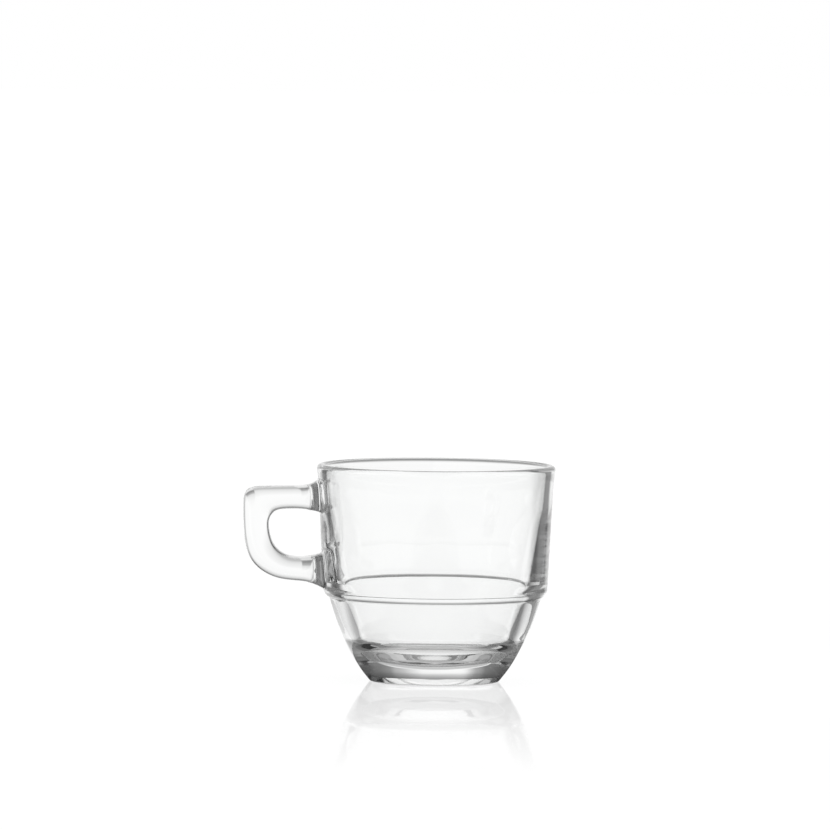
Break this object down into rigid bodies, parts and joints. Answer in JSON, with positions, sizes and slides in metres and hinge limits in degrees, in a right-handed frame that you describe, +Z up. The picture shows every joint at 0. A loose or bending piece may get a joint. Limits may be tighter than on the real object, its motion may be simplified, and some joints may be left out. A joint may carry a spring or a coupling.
{
  "type": "espresso glass",
  "caption": "Small clear pressed-glass cup for espresso, with a stacking shoulder, a rounded lower bowl on a thick floor and a D-shaped side handle.",
  "frame": {"origin": "on the vessel's axis, in the plane that the foot ring stands on", "axes": "+Z up along the vessel's axis, -X towards the handle"},
  "size_m": [0.0837, 0.064, 0.0582],
  "materials": {
    "vessel_glass": "clear, fire-polished",
    "handle_glass": "clear, fire-polished"
  },
  "bodies": {
    "root": {"vessel": "vessel_glass", "handle": "handle_glass"}
  },
  "joints": []
}
